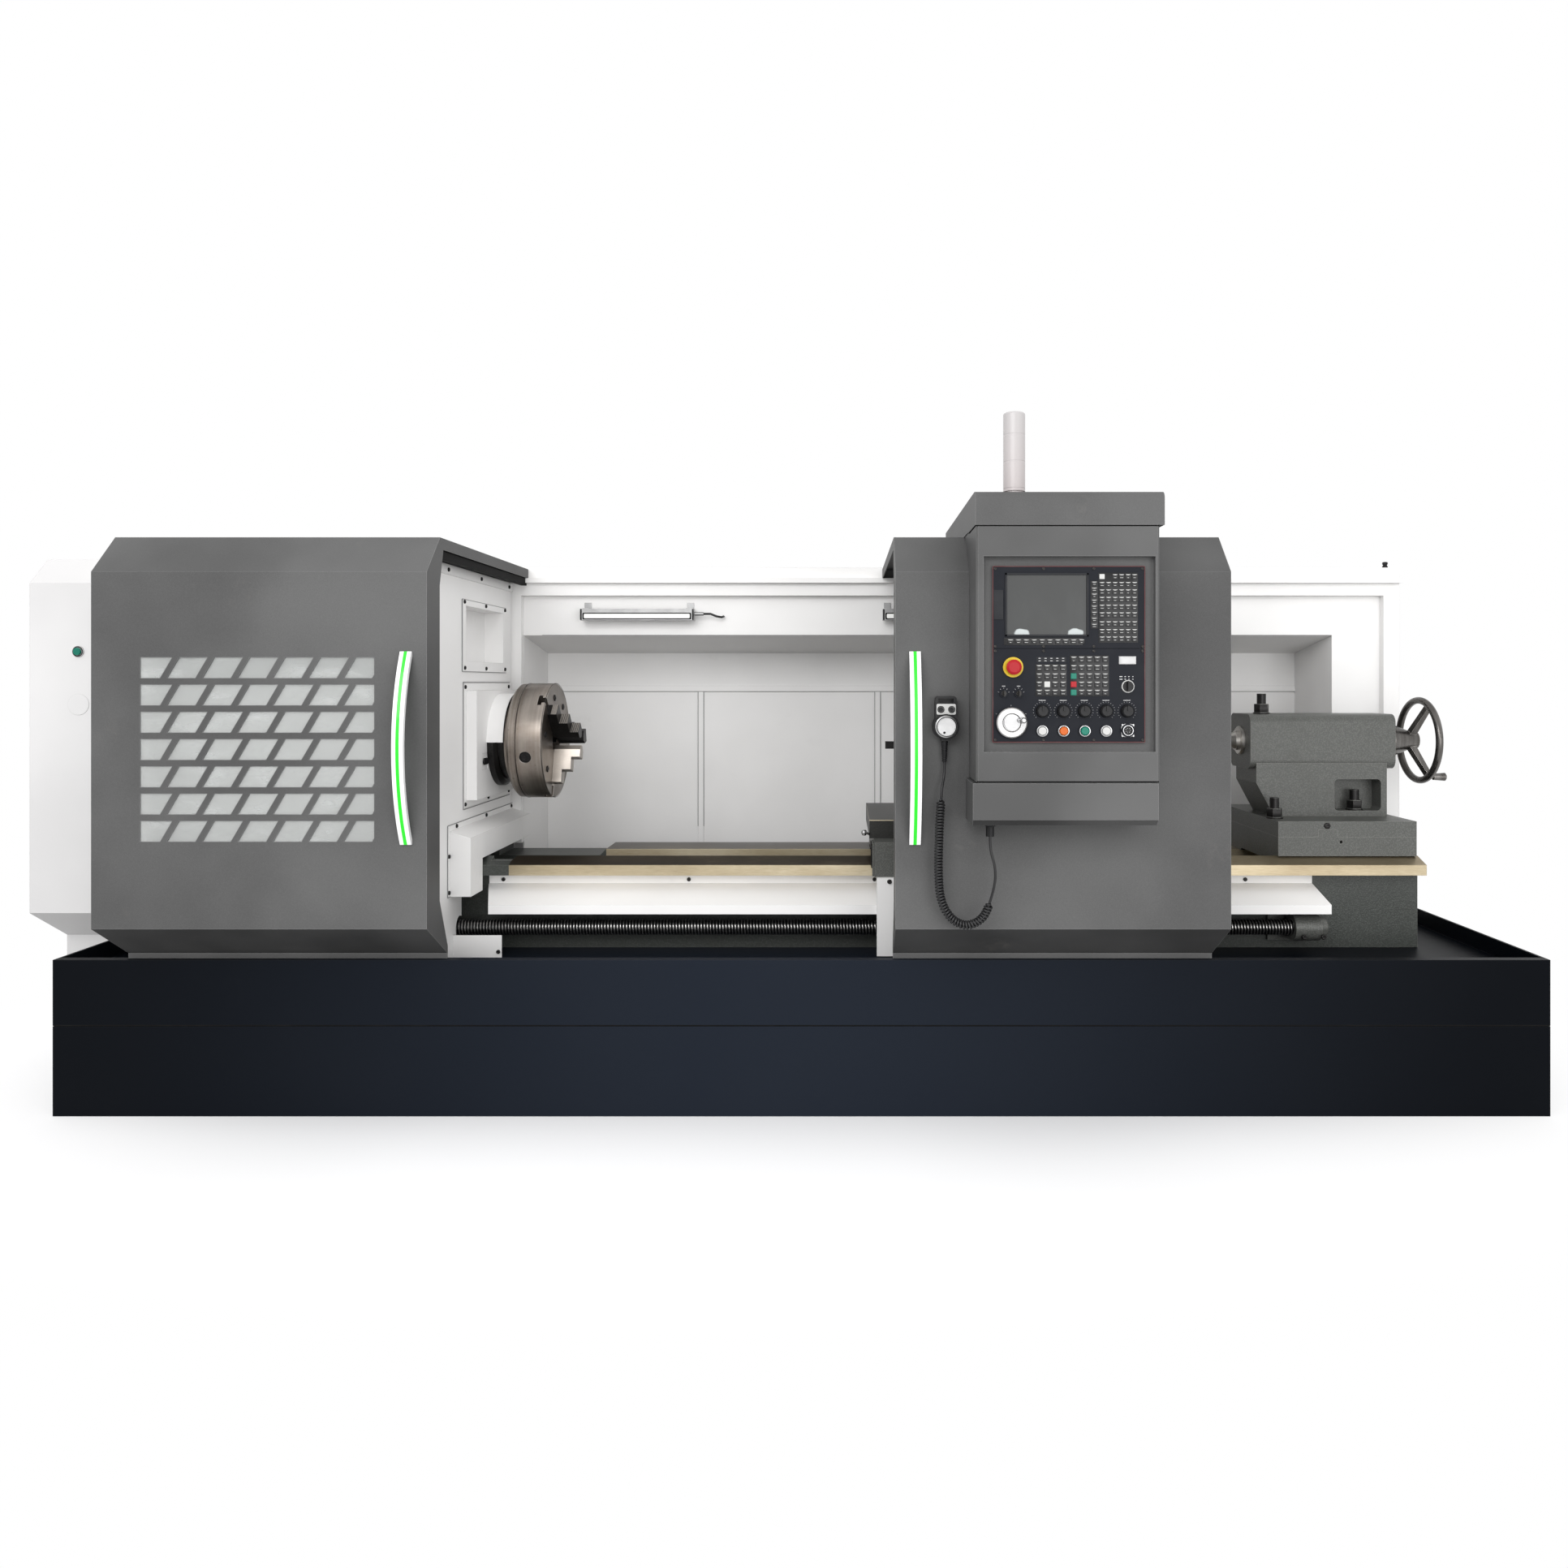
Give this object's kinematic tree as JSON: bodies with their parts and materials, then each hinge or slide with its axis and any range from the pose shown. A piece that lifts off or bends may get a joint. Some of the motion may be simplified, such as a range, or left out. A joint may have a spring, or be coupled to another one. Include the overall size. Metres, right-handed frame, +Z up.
{
  "type": "turning lathe",
  "caption": "Flat-bed turning lathe with sliding guard doors, a control box, a jaw chuck, a screw-driven carriage and a tailstock on a long base cabinet with a chip tray.",
  "frame": {"origin": "on the floor under the middle of the machine's bounding box", "axes": "+X from the headstock to the tailstock, +Z up, the operator stands at -Y"},
  "size_m": [4.706, 1.7483, 2.026],
  "materials": {
    "navy_paint": "satin",
    "grey_paint": "textured satin",
    "white_paint": "textured satin",
    "casting_paint": "hammered",
    "ground_iron": "ground",
    "chuck_steel": "brushed",
    "black_steel": "blackened",
    "bright_steel": "polished",
    "black_plastic": "matt",
    "green_plastic": "gloss",
    "red_plastic": "satin",
    "white_plastic": "gloss",
    "orange_plastic": "gloss",
    "teal_plastic": "gloss",
    "frosted_plastic": "frosted",
    "screen_glass": "gloss",
    "clear_glass": "clear",
    "motor_paint": "satin"
  },
  "bodies": {
    "frame": {"base_plinth": "navy_paint", "chip_tray": "navy_paint", "bed": "casting_paint", "headstock": "casting_paint", "headstock_cover": "white_paint", "spindle_guard": "white_paint", "end_cover": "white_paint", "rear_guard": "white_paint", "work_lights": "white_paint", "leadscrew_cover": "white_paint", "leadscrew_bracket": "casting_paint", "drive_motors": "motor_paint", "electrical_cabinet": "white_paint"},
    "left_door": {"left_door": "grey_paint", "left_door_glass": "clear_glass", "left_door_handle": "white_plastic"},
    "right_door": {"right_door": "grey_paint", "right_door_handle": "white_plastic", "control_box": "grey_paint", "nc_unit": "black_plastic", "screen": "screen_glass", "operator_panel": "black_plastic", "panel_keys": "black_plastic", "status_lamp": "frosted_plastic", "pendant": "black_plastic", "pendant_cord": "black_plastic", "pendant_coil": "black_plastic"},
    "spindle": {"spindle": "black_steel", "chuck_plate": "chuck_steel", "chuck_body": "chuck_steel"},
    "carriage": {"saddle": "casting_paint", "apron": "white_paint"},
    "tailstock": {"tailstock_base": "casting_paint", "tailstock_body": "casting_paint"},
    "chuck_jaw_1": {"chuck_jaw_1": "black_steel"},
    "chuck_jaw_2": {"chuck_jaw_2": "bright_steel"},
    "chuck_jaw_3": {"chuck_jaw_3": "black_steel"},
    "leadscrew": {"leadscrew": "bright_steel"},
    "cross_slide": {"cross_slide": "ground_iron"},
    "tool_post": {"tool_post": "black_steel"},
    "quill": {"quill": "bright_steel"},
    "tail_handwheel": {"tail_handwheel": "bright_steel"},
    "cover_button": {"cover_button": "green_plastic"},
    "estop_button": {"estop_button": "red_plastic"},
    "panel_handwheel": {"panel_handwheel": "bright_steel"},
    "pendant_dial": {"pendant_dial": "white_plastic"},
    "push_button_1": {"push_button_1": "white_plastic"},
    "push_button_2": {"push_button_2": "orange_plastic"},
    "push_button_3": {"push_button_3": "teal_plastic"},
    "push_button_4": {"push_button_4": "white_plastic"},
    "override_knob_1": {"override_knob_1": "black_plastic"},
    "override_knob_2": {"override_knob_2": "black_plastic"},
    "override_knob_3": {"override_knob_3": "black_plastic"},
    "override_knob_4": {"override_knob_4": "black_plastic"},
    "override_knob_5": {"override_knob_5": "black_plastic"},
    "key_switch_1": {"key_switch_1": "bright_steel"},
    "key_switch_2": {"key_switch_2": "bright_steel"},
    "mode_selector": {"mode_selector": "black_plastic"},
    "pendant_knob_1": {"pendant_knob_1": "black_plastic"},
    "pendant_knob_2": {"pendant_knob_2": "black_plastic"}
  },
  "joints": [
    {"name": "left_door_slide", "type": "slide", "parent": "frame", "child": "left_door", "axis": [1, 0, 0], "range_m": [0, 0.93]},
    {"name": "right_door_slide", "type": "slide", "parent": "frame", "child": "right_door", "axis": [1, 0, 0], "range_m": [-0.37, 0.88]},
    {"name": "spindle_spin", "type": "hinge", "parent": "frame", "child": "spindle", "pos_m": [-0.9, 0.118, 1.082], "axis": [1, 0, 0], "continuous": true},
    {"name": "jaw_1_slide", "type": "slide", "parent": "spindle", "child": "chuck_jaw_1", "axis": [0, -0.6947, 0.7193], "range_m": [-0.006, 0.036]},
    {"name": "jaw_2_slide", "type": "slide", "parent": "spindle", "child": "chuck_jaw_2", "axis": [0, -0.2756, -0.9613], "range_m": [-0.006, 0.036]},
    {"name": "jaw_3_slide", "type": "slide", "parent": "spindle", "child": "chuck_jaw_3", "axis": [0, 0.9703, 0.2419], "range_m": [-0.006, 0.036]},
    {"name": "leadscrew_spin", "type": "hinge", "parent": "frame", "child": "leadscrew", "pos_m": [0, -0.202, 0.493], "axis": [1, 0, 0], "range_deg": [-3600, 32400]},
    {"name": "carriage_slide", "type": "slide", "parent": "frame", "child": "carriage", "axis": [1, 0, 0], "range_m": [-0.9, 0.1]},
    {"name": "cross_feed", "type": "slide", "parent": "carriage", "child": "cross_slide", "axis": [0, 1, 0], "range_m": [-0.09, 0.1]},
    {"name": "tool_post_index", "type": "hinge", "parent": "cross_slide", "child": "tool_post", "pos_m": [0.545, -0.04, 1], "axis": [0, 0, 1], "continuous": true},
    {"name": "tailstock_slide", "type": "slide", "parent": "frame", "child": "tailstock", "axis": [1, 0, 0], "range_m": [-0.6, 0]},
    {"name": "tail_wheel_turn", "type": "hinge", "parent": "tailstock", "child": "tail_handwheel", "pos_m": [2.286, 0.118, 1.082], "axis": [-1, 0, 0], "range_deg": [0, 9000]},
    {"name": "quill_slide", "type": "slide", "parent": "tailstock", "child": "quill", "axis": [-1, 0, 0], "range_m": [0, 0.15]},
    {"name": "cover_button_press", "type": "slide", "parent": "frame", "child": "cover_button", "axis": [0, 1, 0], "range_m": [0, 0.004], "stiffness_N_per_m": 300},
    {"name": "estop_press", "type": "slide", "parent": "right_door", "child": "estop_button", "axis": [0, 1, 0], "range_m": [0, 0.006]},
    {"name": "push_button_1_press", "type": "slide", "parent": "right_door", "child": "push_button_1", "axis": [0, 1, 0], "range_m": [0, 0.003], "stiffness_N_per_m": 300},
    {"name": "push_button_2_press", "type": "slide", "parent": "right_door", "child": "push_button_2", "axis": [0, 1, 0], "range_m": [0, 0.003], "stiffness_N_per_m": 300},
    {"name": "push_button_3_press", "type": "slide", "parent": "right_door", "child": "push_button_3", "axis": [0, 1, 0], "range_m": [0, 0.003], "stiffness_N_per_m": 300},
    {"name": "push_button_4_press", "type": "slide", "parent": "right_door", "child": "push_button_4", "axis": [0, 1, 0], "range_m": [0, 0.003], "stiffness_N_per_m": 300},
    {"name": "override_knob_1_turn", "type": "hinge", "parent": "right_door", "child": "override_knob_1", "pos_m": [0.7934, -0.83, 1.2078], "axis": [0, 1, 0], "range_deg": [-135, 135]},
    {"name": "override_knob_2_turn", "type": "hinge", "parent": "right_door", "child": "override_knob_2", "pos_m": [0.8499, -0.83, 1.2078], "axis": [0, 1, 0], "range_deg": [-135, 135]},
    {"name": "override_knob_3_turn", "type": "hinge", "parent": "right_door", "child": "override_knob_3", "pos_m": [0.9063, -0.83, 1.2078], "axis": [0, 1, 0], "range_deg": [-135, 135]},
    {"name": "override_knob_4_turn", "type": "hinge", "parent": "right_door", "child": "override_knob_4", "pos_m": [0.9645, -0.83, 1.2078], "axis": [0, 1, 0], "range_deg": [-135, 135]},
    {"name": "override_knob_5_turn", "type": "hinge", "parent": "right_door", "child": "override_knob_5", "pos_m": [1.0209, -0.83, 1.2078], "axis": [0, 1, 0], "range_deg": [-135, 135]},
    {"name": "key_switch_1_turn", "type": "hinge", "parent": "right_door", "child": "key_switch_1", "pos_m": [0.69, -0.83, 1.2549], "axis": [0, 1, 0], "range_deg": [0, 90]},
    {"name": "key_switch_2_turn", "type": "hinge", "parent": "right_door", "child": "key_switch_2", "pos_m": [0.73, -0.83, 1.2549], "axis": [0, 1, 0], "range_deg": [0, 90]},
    {"name": "mode_selector_turn", "type": "hinge", "parent": "right_door", "child": "mode_selector", "pos_m": [1.0235, -0.83, 1.2737], "axis": [0, 1, 0], "range_deg": [-45, 45]},
    {"name": "panel_handwheel_turn", "type": "hinge", "parent": "right_door", "child": "panel_handwheel", "pos_m": [0.71, -0.83, 1.1765], "axis": [0, 1, 0], "continuous": true},
    {"name": "pendant_dial_turn", "type": "hinge", "parent": "right_door", "child": "pendant_dial", "pos_m": [0.547, -0.707, 1.161], "axis": [0, 1, 0], "continuous": true},
    {"name": "pendant_knob_1_turn", "type": "hinge", "parent": "right_door", "child": "pendant_knob_1", "pos_m": [0.532, -0.707, 1.209], "axis": [0, 1, 0], "range_deg": [-60, 60]},
    {"name": "pendant_knob_2_turn", "type": "hinge", "parent": "right_door", "child": "pendant_knob_2", "pos_m": [0.562, -0.707, 1.209], "axis": [0, 1, 0], "range_deg": [-60, 60]}
  ],
  "couplings": [
    {"joint": "jaw_2_slide", "follows": "jaw_1_slide", "ratio": 1},
    {"joint": "jaw_3_slide", "follows": "jaw_1_slide", "ratio": 1},
    {"joint": "leadscrew_spin", "follows": "carriage_slide", "rad_per_m": -628.32},
    {"joint": "quill_slide", "follows": "tail_wheel_turn", "m_per_rad": 0.00095493}
  ]
}
